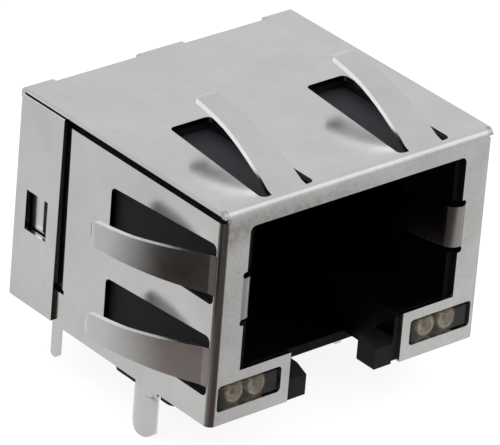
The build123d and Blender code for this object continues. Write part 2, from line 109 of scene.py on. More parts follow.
# How the meshes are welded, rounded and bent, in millimetres and degrees
WELD = 0.0005
SHARP_FROM = 35.0
LENS_SHARP_FROM = 60.0
FACE_WEIGHT = 90
LENS_ROUND = 0.01
LEAD_ROUND = 0.02
CONTACT_BEND = 0.35
CONTACT_EDGE = 0.05
BEND_STEPS = 8
EDGE_STEPS = 3

# Smallest share of a unit normal that counts as facing a direction
FACING = 0.6
FACING_SQUARELY = 0.7

# Colours of single places, chosen by the photograph; the other colours are settings
# Painted shade: dark brown on the ground springs inside the cavity
SPRING_SHADE = (0.03, 0.023, 0.02)
STAIN = (0.36, 0.335, 0.3)
# Colour of the patchy darker marks above the opening, darkest at the left
STRIP_MARK = (0.16, 0.15, 0.13)
# Painted shade: brown on the bends from the front face into the walls
BEND_SHADE = (0.12, 0.105, 0.1)
# Painted reflection: near black on the windows' forward cut faces, for the dark resin mirrored there
WINDOW_CUT_SHADE = (0.03, 0.028, 0.026)
# Painted light: a paler resin colour on the level faces under the top windows
WINDOW_FLOOR_LIGHT = (0.044, 0.043, 0.051)
LEAD_TIN = (0.6, 0.6, 0.59)
DIE_DARK = (0.12, 0.1, 0.075)
DIE_LIGHT = (0.2, 0.175, 0.13)

# Depth of the materials' bumps, in metres
BUMP_DEPTH = 0.00001

# The stage: floor and lamps in metres, the camera's aim and shifts in millimetres, and the
# floor's headings in degrees
FLOOR_HALF = 0.6
FIRST_HEADING = 60
STUDIO_LAMP_DISTANCE = 0.13
CAMERA_AIM = (0.0, 2.4, 6.8)
CAMERA_ASIDE = 1.579
CAMERA_ABOVE = -2.449
CAMERA_SENSOR = 36.0
PAPER_WHITE = (0.97, 0.97, 0.95)
PAPER_GREY = (0.77, 0.77, 0.75)
CORNER_GREY = (0.29, 0.25, 0.225)
CORNER_BROWN = (0.125, 0.105, 0.095)
CORNER_BLACK = (0.026, 0.019, 0.014)


# Settings that a user would change

class JackShieldSettings(bpy.types.PropertyGroup):
    """Plated sheet metal of the shield."""
    plating: FloatVectorProperty(
        name="Plating colour", description="Colour of the nickel plating", subtype="COLOR",
        size=3, min=0, max=1, default=(0.508, 0.508, 0.514))
    # Painted highlight: a pale colour on the spring fingers' cut edges
    cut_edge_highlight: FloatVectorProperty(
        name="Cut edge colour", description="Colour of the sheet's cut edges", subtype="COLOR",
        size=3, min=0, max=1, default=(0.93, 0.925, 0.915))
    # Painted shade: a near-black colour on the rear flaps' front edges
    flap_edge_shade: FloatVectorProperty(
        name="Dulled edge colour", description="Colour of cut edges without plating",
        subtype="COLOR", size=3, min=0, max=1, default=(0.02, 0.016, 0.013))
    # Edge wear and painted highlight: a pale colour on all the rounded edges
    burnished_and_highlit: FloatVectorProperty(
        name="Burnished edge colour", description="Colour of the rounded edges", subtype="COLOR",
        size=3, min=0, max=1, default=(0.9, 0.9, 0.9))
    roughness: FloatProperty(
        name="Roughness", description="Roughness of the plating", min=0, max=1, default=0.2)
    edge_round: FloatProperty(
        name="Edge rounding", description="Rounding of the cut edges, in millimetres",
        min=0.005, max=0.06, default=0.045)


class JackPlasticSettings(bpy.types.PropertyGroup):
    """Black mouldings."""
    resin: FloatVectorProperty(
        name="Resin colour", description="Colour of the black moulding resin", subtype="COLOR",
        size=3, min=0, max=1, default=(0.0135, 0.0133, 0.0142))
    roughness: FloatProperty(
        name="Roughness", description="Roughness of the moulded faces", min=0, max=1, default=0.5)
    edge_round: FloatProperty(
        name="Edge rounding", description="Rounding of the moulded edges, in millimetres",
        min=0.005, max=0.1, default=0.04)


class JackContactSettings(bpy.types.PropertyGroup):
    """Row of spring contacts."""
    count: IntProperty(
        name="Contacts", description="Number of contacts in the row", min=2, max=10, default=8)
    pitch: FloatProperty(
        name="Pitch", description="Distance between contacts, in millimetres", default=1.016)
    width: FloatProperty(
        name="Width", description="Width of one contact, in millimetres", default=0.4)
    thickness: FloatProperty(
        name="Thickness", description="Thickness of one contact, in millimetres", default=0.25)
    gold: FloatVectorProperty(
        name="Gold colour", description="Colour of the plating on the springs", subtype="COLOR",
        size=3, min=0, max=1, default=(0.86, 0.62, 0.25))
    tin: FloatVectorProperty(
        name="Tin colour", description="Colour of the pins' tinned ends", subtype="COLOR",
        size=3, min=0, max=1, default=(0.6, 0.6, 0.59))


class JackLampSettings(bpy.types.PropertyGroup):
    """Indicator lamps."""
    resin: FloatVectorProperty(
        name="Lens colour", description="Colour of the lamps' clear resin", subtype="COLOR",
        size=3, min=0, max=1, default=(0.94, 0.9, 0.84))
    haze: FloatProperty(
        name="Haze", description="Roughness of the lens, which blurs the cups", min=0, max=1,
        default=0.46)
    cup: FloatVectorProperty(
        name="Cup colour", description="Colour of the leads' reflector cups", subtype="COLOR",
        size=3, min=0, max=1, default=(0.93, 0.85, 0.69))


class JackStageSettings(bpy.types.PropertyGroup):
    """Floor, lamps and camera."""
    azimuth: FloatProperty(
        name="Azimuth", description="Camera's turn to the left of the front", subtype="ANGLE",
        default=math.radians(41.577))
    elevation: FloatProperty(
        name="Elevation", description="Camera's height above the horizon", subtype="ANGLE",
        default=math.radians(27.937))
    roll: FloatProperty(
        name="Roll", description="Camera's turn about its own axis", subtype="ANGLE",
        default=math.radians(4.633))
    distance: FloatProperty(
        name="Distance", description="Camera's distance", subtype="DISTANCE", unit="LENGTH",
        default=0.237322)
    lens: FloatProperty(
        name="Lens", description="Focal length in millimetres", default=366.67)
    world_light: FloatProperty(
        name="Studio light", description="Strength of the light from all round", default=1.0)
    key_light: FloatProperty(
        name="Key light", description="Power of the soft lamp before the jack, in watts",
        default=0.01)
    rim_light: FloatProperty(
        name="Rim light", description="Power of the lamp behind the left, in watts",
        default=0.006)


# Meshes

def dressed_copy(node, name, edge_round, sharp_from=SHARP_FROM):
    """A copy of a CAD node with welded faces and rounded edges, smooth where it is bent.

    Its two material slots are only there to tell the rounded edges' faces from the others.
    """
    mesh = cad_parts[node].data.copy()
    mesh.transform(Matrix.Scale(1 / MM, 4))
    work = bmesh.new()
    work.from_mesh(mesh)
    bmesh.ops.remove_doubles(work, verts=work.verts, dist=WELD)
    work.to_mesh(mesh)
    work.free()
    mesh.materials.clear()
    for _ in range(2):
        mesh.materials.append(None)
    mesh.polygons.foreach_set("material_index", [0] * len(mesh.polygons))
    while mesh.uv_layers:
        mesh.uv_layers.remove(mesh.uv_layers[0])
    mesh.shade_smooth()
    piece = bpy.data.objects.new(name, mesh)
    bpy.context.scene.collection.objects.link(piece)
    bevel = piece.modifiers.new("Round", "BEVEL")
    bevel.width = edge_round
    bevel.segments = 2
    bevel.limit_method = "ANGLE"
    bevel.material = 1
    bevel.angle_limit = math.radians(sharp_from)
    bevel.miter_outer = "MITER_ARC"
    weighted = piece.modifiers.new("Weighted", "WEIGHTED_NORMAL")
    weighted.weight = FACE_WEIGHT
    settle(piece)
    mark_edge_wear_and_highlight(piece.data)
    return piece


def mark_edge_wear_and_highlight(mesh):
    """Keeps the rounded edges' faces as an attribute, where the material paints edge wear and a
    highlight.
    """
    marks = [0] * len(mesh.polygons)
    mesh.polygons.foreach_get("material_index", marks)
    attribute = mesh.attributes.new("edge_wear_and_highlight", "FLOAT", "FACE")
    attribute.data.foreach_set("value", [float(mark) for mark in marks])
    mesh.polygons.foreach_set("material_index", [0] * len(mesh.polygons))
    mesh.materials.clear()


def settle(piece):
    """Applies a piece's modifiers and brings its mesh from millimetres to metres."""
    graph = bpy.context.evaluated_depsgraph_get()
    made = bpy.data.meshes.new_from_object(
        piece.evaluated_get(graph), preserve_all_data_layers=True, depsgraph=graph)
    piece.modifiers.clear()
    piece.data = made
    made.name = piece.name
    made.transform(Matrix.Scale(MM, 4))
    return piece


def finish_piece(piece, material, slot, *nodes):
    """Gives a piece its material and its body, and hides the CAD nodes that it stands for. The slot
    argument is not used.
    """
    if not piece.data.materials:
        piece.data.materials.append(material)
    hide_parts(*nodes)
    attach(piece, "root")
    return piece


# Materials

class Finish:
    """A material under construction, with short ways to add nodes to it."""

    def __init__(self, name):
        self.material = bpy.data.materials.new(name)
        self.material.use_nodes = True
        self.tree = self.material.node_tree
        self.nodes = self.tree.nodes
        self.nodes.clear()
        self.output = self.nodes.new("ShaderNodeOutputMaterial")
        self.shader = self.nodes.new("ShaderNodeBsdfPrincipled")
        self.link(self.shader.outputs[0], self.output.inputs[0])
        self.place = self.nodes.new("ShaderNodeTexCoord").outputs["Object"]
        self.x, self.y, self.z = self.split(self.place)

    def link(self, source, target):
        self.tree.links.new(source, target)

    def math(self, operation, a, b=None, clamp=False):
        node = self.nodes.new("ShaderNodeMath")
        node.operation = operation
        node.use_clamp = clamp
        for socket, value in zip(node.inputs, (a, b)):
            if value is None:
                continue
            if isinstance(value, (int, float)):
                socket.default_value = value
            else:
                self.link(value, socket)
        return node.outputs[0]

    def size(self, value):
        return self.math("ABSOLUTE", value)

    def past(self, place, bound):
        """One where a place lies past a bound in millimetres, zero elsewhere."""
        return self.math("GREATER_THAN", place, bound * MM)

    def short_of(self, place, bound):
        """One where a place lies short of a bound in millimetres, zero elsewhere."""
        return self.math("LESS_THAN", place, bound * MM)

    def all_of(self, mask, *others):
        for other in others:
            mask = self.math("MULTIPLY", mask, other)
        return mask

    def any_of(self, mask, other):
        return self.math("ADD", mask, other, clamp=True)

    def offset_from(self, corner):
        """The place as seen from a corner."""
        node = self.nodes.new("ShaderNodeVectorMath")
        node.operation = "SUBTRACT"
        self.link(self.place, node.inputs[0])
        node.inputs[1].default_value = corner
        return node.outputs[0]

    def split(self, vector):
        node = self.nodes.new("ShaderNodeSeparateXYZ")
        self.link(vector, node.inputs[0])
        return node.outputs

    def edge_wear_and_highlight(self):
        """The attribute that marks the rounded edges' faces, which get edge wear and a painted
        highlight.
        """
        node = self.nodes.new("ShaderNodeAttribute")
        node.attribute_name = "edge_wear_and_highlight"
        return node.outputs["Fac"]

    def normal(self):
        return self.nodes.new("ShaderNodeNewGeometry").outputs["True Normal"]

    def stretched(self, scale):
        node = self.nodes.new("ShaderNodeMapping")
        node.inputs["Scale"].default_value = scale
        self.link(self.place, node.inputs["Vector"])
        return node.outputs[0]

    def noise(self, scale, detail=2.0, roughness=0.5, vector=None):
        node = self.nodes.new("ShaderNodeTexNoise")
        node.inputs["Scale"].default_value = scale
        node.inputs["Detail"].default_value = detail
        node.inputs["Roughness"].default_value = roughness
        self.link(self.place if vector is None else vector, node.inputs["Vector"])
        return node.outputs["Fac"]

    def remap(self, value, low, high, to_low=0.0, to_high=1.0, smooth=False):
        node = self.nodes.new("ShaderNodeMapRange")
        node.interpolation_type = "SMOOTHSTEP" if smooth else "LINEAR"
        self.link(value, node.inputs["Value"])
        node.inputs["From Min"].default_value = low
        node.inputs["From Max"].default_value = high
        node.inputs["To Min"].default_value = to_low
        node.inputs["To Max"].default_value = to_high
        return node.outputs["Result"]

    def ramp(self, place, none_at, all_at):
        """Zero to one between two places in millimetres, with soft ends."""
        return self.remap(place, none_at * MM, all_at * MM, smooth=True)

    def mix(self, factor, a, b):
        node = self.nodes.new("ShaderNodeMix")
        node.data_type = "RGBA"
        for socket, value in ((node.inputs[0], factor), (node.inputs[6], a), (node.inputs[7], b)):
            if isinstance(value, (tuple, list)):
                socket.default_value = (*value, 1.0)
            else:
                self.link(value, socket)
        return node.outputs[2]

    def base_colour(self, colour):
        self.link(colour, self.shader.inputs["Base Color"])

    def roughness(self, texture, low, high):
        """Roughness from a low to a high value, by a noise texture."""
        self.link(self.remap(texture, 0.3, 0.7, low, high), self.shader.inputs["Roughness"])

    def bump(self, height, strength):
        node = self.nodes.new("ShaderNodeBump")
        node.inputs["Strength"].default_value = strength
        node.inputs["Distance"].default_value = BUMP_DEPTH
        self.link(height, node.inputs["Height"])
        self.link(node.outputs[0], self.shader.inputs["Normal"])

    def blend_shaders(self, factor, a, b):
        node = self.nodes.new("ShaderNodeMixShader")
        for socket, source in zip(node.inputs, (factor, a, b)):
            self.link(source, socket)
        return node.outputs[0]


def shade(colour, factor):
    """A colour times a factor."""
    return tuple(c * factor for c in colour)


# Masks of the shield's places that differ from plain plating: one there, zero elsewhere

def finger_cut_highlights(finish, across, up):
    """The spring fingers' cut edges, where they stand clear of the top plate and the walls, which get
    a painted highlight.
    """
    clear = 0.04
    top = finish.all_of(
        finish.past(finish.z, SHIELD_TOP + clear),
        finish.math("GREATER_THAN", finish.size(across), FACING))
    side = finish.all_of(
        finish.past(finish.size(finish.x), WALL_FACE + clear),
        finish.math("GREATER_THAN", finish.size(up), FACING))
    return finish.any_of(top, side)


def shaded_flap_edges(finish, along):
    """The rear flaps' front edges, above the stakes, which get painted shade."""
    edge_margin = 0.1
    wall_margin = 0.2
    return finish.all_of(
        finish.past(finish.y, FRONT + FLAP_FRONT - edge_margin),
        finish.math("LESS_THAN", along, -FACING),
        finish.past(finish.size(finish.x), WALL_FACE - wall_margin),
        finish.past(finish.z, STAKE_TOP))


def ground_spring_shade(finish):
    """Painted shade on the ground springs inside the cavity, at half strength on their folds."""
    depth = finish.remap(
        finish.y, FRONT * MM, (FRONT + WING_FOLD) * MM, to_low=0.5, smooth=True)
    return finish.all_of(
        finish.short_of(finish.size(finish.x), WING_ROOT),
        finish.past(finish.z, WING_LOW),
        finish.short_of(finish.z, WING_HIGH),
        finish.short_of(finish.y, FRONT + WING_REACH),
        depth)


def stains(finish):
    """Handling stains and fine mottling, stronger on the front face."""
    front_margin = 0.06
    everywhere = 0.1
    more_in_front = 0.16
    on_front = finish.short_of(finish.y, FRONT + front_margin)
    amount = finish.math("ADD", everywhere, finish.math("MULTIPLY", on_front, more_in_front))
    blotch = finish.remap(finish.noise(650.0, detail=3.0, roughness=0.6), 0.45, 0.75)
    speck = finish.remap(finish.noise(5200.0, roughness=0.6), 0.5, 0.8)
    return finish.math("MULTIPLY", finish.math("ADD", blotch, speck), amount, clamp=True)


def strip_marks(finish):
    """Patchy darker marks on the front face above the opening, darkest at the left, which fade out to
    the right and downwards.
    """
    fade_half = 4.0
    patchy = finish.remap(finish.noise(2600.0, detail=3.0, roughness=0.6), 0.35, 0.65, 0.55, 1.25)
    return finish.all_of(
        finish.ramp(finish.z, CAVITY_TOP + 0.75, CAVITY_TOP + 0.1),
        finish.ramp(finish.z, CAVITY_TOP - 1.3, CAVITY_TOP - 0.2),
        finish.ramp(finish.x, fade_half, -fade_half),
        finish.ramp(finish.y, FRONT + 0.1, FRONT + 0.05),
        patchy)


def upright_bend_shade(finish):
    """Painted shade on the bends from the front face into the walls."""
    face_margin = 0.01
    return finish.all_of(
        finish.past(finish.size(finish.x), WALL_FACE - BEND_REACH),
        finish.past(finish.y, FRONT + face_margin),
        finish.short_of(finish.y, FRONT + BEND_REACH))


def window_cut_shade(finish, along):
    """The windows' cut faces that look forwards, in the top plate and in the walls, painted near
    black as a painted reflection of the dark resin.
    """
    front_strip = 1.0
    sheet_margin = 0.24
    wall_margin = 0.02
    in_top = finish.past(finish.z, SHIELD_TOP - sheet_margin)
    in_wall = finish.all_of(
        finish.short_of(finish.size(finish.x), WALL_FACE - wall_margin),
        finish.past(finish.z, STAKE_TOP))
    return finish.all_of(
        finish.any_of(in_top, in_wall),
        finish.math("LESS_THAN", along, -FACING_SQUARELY),
        finish.past(finish.y, FRONT + front_strip))


def nickel_plating(settings):
    """Satin nickel on rolled sheet: fine grain, stains, marks and edge wear, with painted highlights
    on the cut and rounded edges and painted shade on the flaps' edges, ground springs, bends and
    window cuts.
    """
    finish = Finish("nickel_plating")
    finish.shader.inputs["Metallic"].default_value = 1.0
    plating = tuple(settings.plating)
    marks = finish.noise(260.0, detail=4.0, roughness=0.6)
    grain = finish.noise(1.0, vector=finish.stretched((9000.0, 1400.0, 9000.0)))
    colour = finish.mix(finish.remap(marks, 0.35, 0.7), shade(plating, 1.04), shade(plating, 0.95))
    colour = finish.mix(finish.math("MULTIPLY", grain, 0.1), colour, shade(plating, 0.8))
    across, along, up = finish.split(finish.normal())
    layers = (
        # Painted highlight on the spring fingers' cut edges
        (finger_cut_highlights(finish, across, up), 1.0, tuple(settings.cut_edge_highlight)),
        # Painted shade on the rear flaps' front edges
        (shaded_flap_edges(finish, along), 1.0, tuple(settings.flap_edge_shade)),
        # Painted shade on the ground springs
        (ground_spring_shade(finish), 1.0, SPRING_SHADE),
        (stains(finish), 1.0, STAIN),
        (strip_marks(finish), 0.45, STRIP_MARK),
        # Painted shade on the upright bends
        (upright_bend_shade(finish), 0.35, BEND_SHADE),
        # Painted reflection of the dark resin on the windows' cut faces
        (window_cut_shade(finish, along), 1.0, WINDOW_CUT_SHADE),
        # Edge wear and painted highlight on the rounded edges
        (finish.edge_wear_and_highlight(), 0.85, tuple(settings.burnished_and_highlit)),
    )
    for mask, strength, tone in layers:
        colour = finish.mix(finish.math("MULTIPLY", mask, strength), colour, tone)
    finish.base_colour(colour)
    haze = finish.noise(700.0, detail=3.0, roughness=0.55)
    finish.roughness(haze, settings.roughness * 0.9, settings.roughness * 1.15)
    finish.bump(grain, 0.05)
    return finish.material


def cavity_shade(finish):
    """Where the resin gets painted shade: in the plug cavity and in the latch way behind and above
    the keepers.
    """
    front_margin = 0.2
    sideways = finish.size(finish.x)
    cavity = finish.all_of(
        finish.short_of(sideways, CAVITY_HALF), finish.past(finish.z, CAVITY_BOTTOM))
    past_keepers = finish.any_of(
        finish.past(finish.y, FRONT + KEEPER_DEPTH), finish.past(finish.z, KEEPER_TOP))
    way = finish.all_of(
        finish.short_of(sideways, LATCH_WAY_HALF),
        finish.past(finish.z, LATCH_WAY_BOTTOM),
        past_keepers)
    return finish.all_of(
        finish.any_of(cavity, way),
        finish.past(finish.y, FRONT + front_margin),
        finish.short_of(finish.y, FRONT + CAVITY_BACK),
        finish.short_of(finish.z, CAVITY_TOP))


def black_resin(settings, name="black_resin", tone=1.0):
    """Glass-filled black plastic: dull, with a fine moulded texture.

    It has painted light, a paler colour, on the level faces under the top windows, and painted shade,
    a far darker colour, inside the cavity.
    """
    finish = Finish(name)
    resin = shade(tuple(settings.resin), tone)
    cloud = finish.noise(900.0, detail=3.0, roughness=0.6)
    outer = finish.mix(finish.remap(cloud, 0.35, 0.65), shade(resin, 0.8), shade(resin, 1.25))
    up = finish.split(finish.normal())[2]
    # Painted light on the level faces under the top windows
    lit_window_floor = finish.all_of(
        finish.math("GREATER_THAN", up, FACING_SQUARELY), finish.past(finish.z, CAVITY_TOP))
    outer = finish.mix(lit_window_floor, outer, WINDOW_FLOOR_LIGHT)
    # Painted shade: the resin at 8% of its colour inside the cavity and the latch way
    finish.base_colour(finish.mix(cavity_shade(finish), outer, shade(resin, 0.08)))
    finish.roughness(cloud, settings.roughness * 0.9, settings.roughness * 1.1)
    finish.shader.inputs["Specular IOR Level"].default_value = 0.06
    finish.bump(finish.noise(16000.0), 0.25)
    return finish.material


def contact_plating(settings):
    """Gold over nickel on the springs, changing to tin on the pins near the board."""
    gold_from = 0.9
    tin_below = 0.2
    finish = Finish("contact_plating")
    finish.shader.inputs["Metallic"].default_value = 1.0
    streaks = finish.noise(1.0, detail=3.0, vector=finish.stretched((6000.0, 900.0, 900.0)))
    gold = finish.mix(streaks, shade(tuple(settings.gold), 0.9), tuple(settings.gold))
    tinned = finish.ramp(finish.z, gold_from, tin_below)
    finish.base_colour(finish.mix(tinned, gold, tuple(settings.tin)))
    finish.roughness(streaks, 0.18, 0.3)
    finish.bump(streaks, 0.05)
    return finish.material


def lead_hollows(finish, offset):
    """The lens's faces round the leads and dice, which don't show."""
    from_level = finish.size(finish.math("SUBTRACT", finish.z, LAMP_LEVEL * MM))
    return finish.all_of(
        finish.short_of(finish.size(offset), HOLLOW_HALF),
        finish.short_of(from_level, HOLLOW_RISE),
        finish.past(finish.y, FRONT + LENS_FRONT + 0.15),
        finish.short_of(finish.y, FRONT + LENS_END - 0.1))


def lamp_resin(settings, side):
    """Frosted resin, darker at the right, with a painted shadow along the upper edge."""
    finish = Finish(f"lamp_resin_{side}")
    resin = tuple(settings.resin)
    middle = (-1 if side == "left" else 1) * LAMP_OFFSET * MM
    offset = finish.math("SUBTRACT", finish.x, middle)
    cloud = finish.noise(1500.0)
    tint = finish.mix(cloud, shade(resin, 0.9), resin)
    tint = finish.mix(finish.ramp(offset, 0.6, 1.3), tint, shade(resin, 0.6))
    # Painted shadow along the lens's upper edge
    top_shadow = finish.ramp(finish.z, LAMP_LEVEL + 0.3, LAMP_LEVEL + 0.62)
    finish.base_colour(finish.mix(top_shadow, tint, shade(resin, 0.3)))
    finish.shader.inputs["Transmission Weight"].default_value = 1.0
    finish.shader.inputs["IOR"].default_value = 1.45
    finish.roughness(cloud, settings.haze * 0.85, settings.haze * 1.15)
    gap = finish.nodes.new("ShaderNodeBsdfTransparent")
    shown = finish.blend_shaders(
        lead_hollows(finish, offset), finish.shader.outputs[0], gap.outputs[0])
    finish.link(shown, finish.output.inputs[0])
    return finish.material


def lead_plating(settings):
    """Pale, dull cups at the leads' front ends, tin on the rest."""
    finish = Finish("lead_plating")
    cup = finish.ramp(finish.y, FRONT + CUP_END + 0.25, FRONT + CUP_END)
    speckle = finish.noise(5000.0, roughness=0.6)
    pale = finish.mix(speckle, shade(tuple(settings.cup), 0.85), tuple(settings.cup))
    finish.base_colour(finish.mix(cup, LEAD_TIN, pale))
    finish.link(finish.math("SUBTRACT", 1.0, cup), finish.shader.inputs["Metallic"])
    finish.roughness(speckle, 0.3, 0.45)
    finish.bump(speckle, 0.1)
    return finish.material


def die_finish():
    """Dull semiconductor die with darker and lighter spots."""
    finish = Finish("die_finish")
    spots = finish.noise(12000.0, detail=1.0)
    finish.base_colour(finish.mix(spots, DIE_DARK, DIE_LIGHT))
    finish.roughness(spots, 0.35, 0.5)
    return finish.material


# Contacts

def contact_path(near):
    """One contact's line in the YZ plane, in millimetres, from its pin to its free end."""
    back = FRONT + CONTACT_BACK
    line = [
        (back, CONTACT_TOP),
        (FRONT + CONTACT_FOLD, CONTACT_TOP),
        (FRONT + CONTACT_TIP_DEPTH, CONTACT_TIP_LEVEL),
    ]
    if near:
        pin = back - PIN_STEP
        return [(pin, PIN_END), (pin, PIN_STEP_LEVEL), (back, PIN_STEP_LEVEL)] + line
    return [(back, PIN_END)] + line


def contact_tree(material):
    """Geometry Nodes: a bent line becomes a strip, repeated across the row."""
    tree = bpy.data.node_groups.new("contact_row", "GeometryNodeTree")
    face = tree.interface
    face.new_socket("Geometry", in_out="INPUT", socket_type="NodeSocketGeometry")
    names = ("Count", "Pitch", "First place", "Width", "Thickness", "Bend radius", "Edge radius")
    for name in names:
        kind = "NodeSocketInt" if name == "Count" else "NodeSocketFloat"
        face.new_socket(name, in_out="INPUT", socket_type=kind)
    face.new_socket("Geometry", in_out="OUTPUT", socket_type="NodeSocketGeometry")
    make = tree.nodes.new
    link = tree.links.new
    given = make("NodeGroupInput").outputs

    curve = make("GeometryNodeMeshToCurve")
    link(given["Geometry"], curve.inputs["Mesh"])
    bent = make("GeometryNodeFilletCurve")
    bent.mode = "POLY"
    link(curve.outputs[0], bent.inputs["Curve"])
    bent.inputs["Count"].default_value = BEND_STEPS
    link(given["Bend radius"], bent.inputs["Radius"])

    section = make("GeometryNodeCurvePrimitiveQuadrilateral")
    link(given["Thickness"], section.inputs["Width"])
    link(given["Width"], section.inputs["Height"])
    softened = make("GeometryNodeFilletCurve")
    softened.mode = "POLY"
    link(section.outputs[0], softened.inputs["Curve"])
    softened.inputs["Count"].default_value = EDGE_STEPS
    link(given["Edge radius"], softened.inputs["Radius"])

    strip = make("GeometryNodeCurveToMesh")
    link(bent.outputs[0], strip.inputs["Curve"])
    link(softened.outputs[0], strip.inputs["Profile Curve"])
    strip.inputs["Fill Caps"].default_value = True

    start = make("ShaderNodeCombineXYZ")
    link(given["First place"], start.inputs["X"])
    step = make("ShaderNodeCombineXYZ")
    link(given["Pitch"], step.inputs["X"])
    row = make("GeometryNodeMeshLine")
    link(given["Count"], row.inputs["Count"])
    link(start.outputs[0], row.inputs["Start Location"])
    link(step.outputs[0], row.inputs["Offset"])
    repeat = make("GeometryNodeInstanceOnPoints")
    link(row.outputs[0], repeat.inputs["Points"])
    link(strip.outputs[0], repeat.inputs["Instance"])
    real = make("GeometryNodeRealizeInstances")
    link(repeat.outputs[0], real.inputs[0])
    paint = make("GeometryNodeSetMaterial")
    paint.inputs["Material"].default_value = material
    link(real.outputs[0], paint.inputs["Geometry"])
    link(paint.outputs[0], make("NodeGroupOutput").inputs[0])
    return tree


def contact_row(settings, tree, near):
    """Every second contact of the row, as one mesh."""
    name = "contact_row_near" if near else "contact_row_far"
    points = contact_path(near)
    mesh = bpy.data.meshes.new(name)
    mesh.from_pydata(
        [(0.0, y, z) for y, z in points], [(i, i + 1) for i in range(len(points) - 1)], [])
    piece = bpy.data.objects.new(name, mesh)
    bpy.context.scene.collection.objects.link(piece)
    modifier = piece.modifiers.new("Row", "NODES")
    modifier.node_group = tree
    first = -settings.pitch * (settings.count - 1) / 2 + (settings.pitch if near else 0.0)
    values = {
        "Count": settings.count // 2, "Pitch": 2 * settings.pitch, "First place": first,
        "Width": settings.width, "Thickness": settings.thickness,
        "Bend radius": CONTACT_BEND, "Edge radius": CONTACT_EDGE,
    }
    for socket in tree.interface.items_tree:
        if socket.in_out == "INPUT" and socket.name in values:
            modifier[socket.identifier] = values[socket.name]
    return settle(piece)


# Operators

class JACK_OT_shield(bpy.types.Operator):
    """Dress the folded shield with its plating"""
    bl_idname = "jack.shield"
    bl_label = "Shield"

    def execute(self, context):
        settings = context.scene.jack_shield
        piece = dressed_copy("shield", "shield_sheet", settings.edge_round)
        finish_piece(piece, nickel_plating(settings), "shield", "shield")
        return {"FINISHED"}


class JACK_OT_mouldings(bpy.types.Operator):
    """Dress the housing and the contacts' carrier and tray with black resin"""
    bl_idname = "jack.mouldings"
    bl_label = "Housing, carrier and tray"

    def execute(self, context):
        settings = context.scene.jack_plastic
        housing = dressed_copy("housing", "housing_moulding", settings.edge_round)
        finish_piece(housing, black_resin(settings), "housing", "housing")
        carrier_resin = black_resin(settings, "carrier_resin", 0.85)
        for node in ("contact_carrier", "contact_tray"):
            piece = dressed_copy(node, f"{node}_moulding", settings.edge_round / 2)
            finish_piece(piece, carrier_resin, "carrier", node)
        return {"FINISHED"}


class JACK_OT_contacts(bpy.types.Operator):
    """Make the two staggered halves of the contact row"""
    bl_idname = "jack.contacts"
    bl_label = "Contacts"

    def execute(self, context):
        settings = context.scene.jack_contacts
        material = contact_plating(settings)
        tree = contact_tree(material)
        far = [f"contact_{i}" for i in range(1, settings.count + 1, 2)]
        near = [f"contact_{i}" for i in range(2, settings.count + 1, 2)]
        for is_near, nodes in ((False, far), (True, near)):
            piece = contact_row(settings, tree, is_near)
            finish_piece(piece, material, "contact", *nodes)
        return {"FINISHED"}


class JACK_OT_lamps(bpy.types.Operator):
    """Dress the lamps' lenses, leads and dice"""
    bl_idname = "jack.lamps"
    bl_label = "Indicator lamps"

    def execute(self, context):
        settings = context.scene.jack_lamps
        plating = lead_plating(settings)
        die = die_finish()
        for side in ("left", "right"):
            node = f"led_{side}_lens"
            lens = dressed_copy(node, f"lamp_{side}_lens", LENS_ROUND, LENS_SHARP_FROM)
            finish_piece(lens, lamp_resin(settings, side), "lamp_lens", node)
            for row in ("inner", "outer"):
                node = f"led_{side}_{row}_lead"
                lead = dressed_copy(node, f"lamp_{side}_{row}_lead", LEAD_ROUND)
                finish_piece(lead, plating, "lamp_lead", node)
                die_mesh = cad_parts[f"led_{side}_{row}_die"].data
                die_mesh.materials.clear()
                die_mesh.materials.append(die)
        return {"FINISHED"}


class JACK_OT_stage(bpy.types.Operator):
    """Make the floor, the studio light and the camera"""
    bl_idname = "jack.stage"
    bl_label = "Stage"

    def execute(self, context):
        settings = context.scene.jack_stage
        make_floor()
        make_light(context.scene, settings)
        make_camera(context.scene, settings)
        context.scene.view_settings.view_transform = "Standard"
        return {"FINISHED"}


def make_floor():
    """A pale floor that shows white, with a dark studio corner in its reflections."""
    level = CAD_BOX[0].z
    corners = ((-1, -1), (1, -1), (1, 1), (-1, 1))
    mesh = bpy.data.meshes.new("floor")
    mesh.from_pydata(
        [(FLOOR_HALF * x, FLOOR_HALF * y, level) for x, y in corners], [], [(0, 1, 2, 3)])
    floor = bpy.data.objects.new("floor", mesh)
    bpy.context.scene.collection.objects.link(floor)
    mesh.materials.append(floor_paper())


def floor_paper():
    """White paper to the camera, and paper with a dark studio corner to mirror rays."""
    finish = Finish("floor_paper")
    finish.nodes.remove(finish.shader)
    paper = finish.nodes.new("ShaderNodeBsdfDiffuse")
    paper.inputs["Color"].default_value = (0.8, 0.8, 0.8, 1.0)
    path = finish.nodes.new("ShaderNodeLightPath")
    mirrored = finish.any_of(path.outputs["Is Glossy Ray"], path.outputs["Is Transmission Ray"])
    unseen = finish.blend_shaders(mirrored, paper.outputs[0], mirrored_floor(finish))
    shown = finish.blend_shaders(path.outputs["Is Camera Ray"], unseen, seen_floor(finish))
    finish.link(shown, finish.output.inputs[0])
    return finish.material


def seen_floor(finish):
    """What the camera sees: white, with a little of the jack's shadow."""
    white = finish.nodes.new("ShaderNodeEmission")
    white.inputs["Color"].default_value = (1.0, 1.0, 1.0, 1.0)
    white.inputs["Strength"].default_value = 0.88
    dim = finish.nodes.new("ShaderNodeBsdfDiffuse")
    dim.inputs["Color"].default_value = (0.25, 0.25, 0.25, 1.0)
    both = finish.nodes.new("ShaderNodeAddShader")
    finish.link(white.outputs[0], both.inputs[0])
    finish.link(dim.outputs[0], both.inputs[1])
    return both.outputs[0]


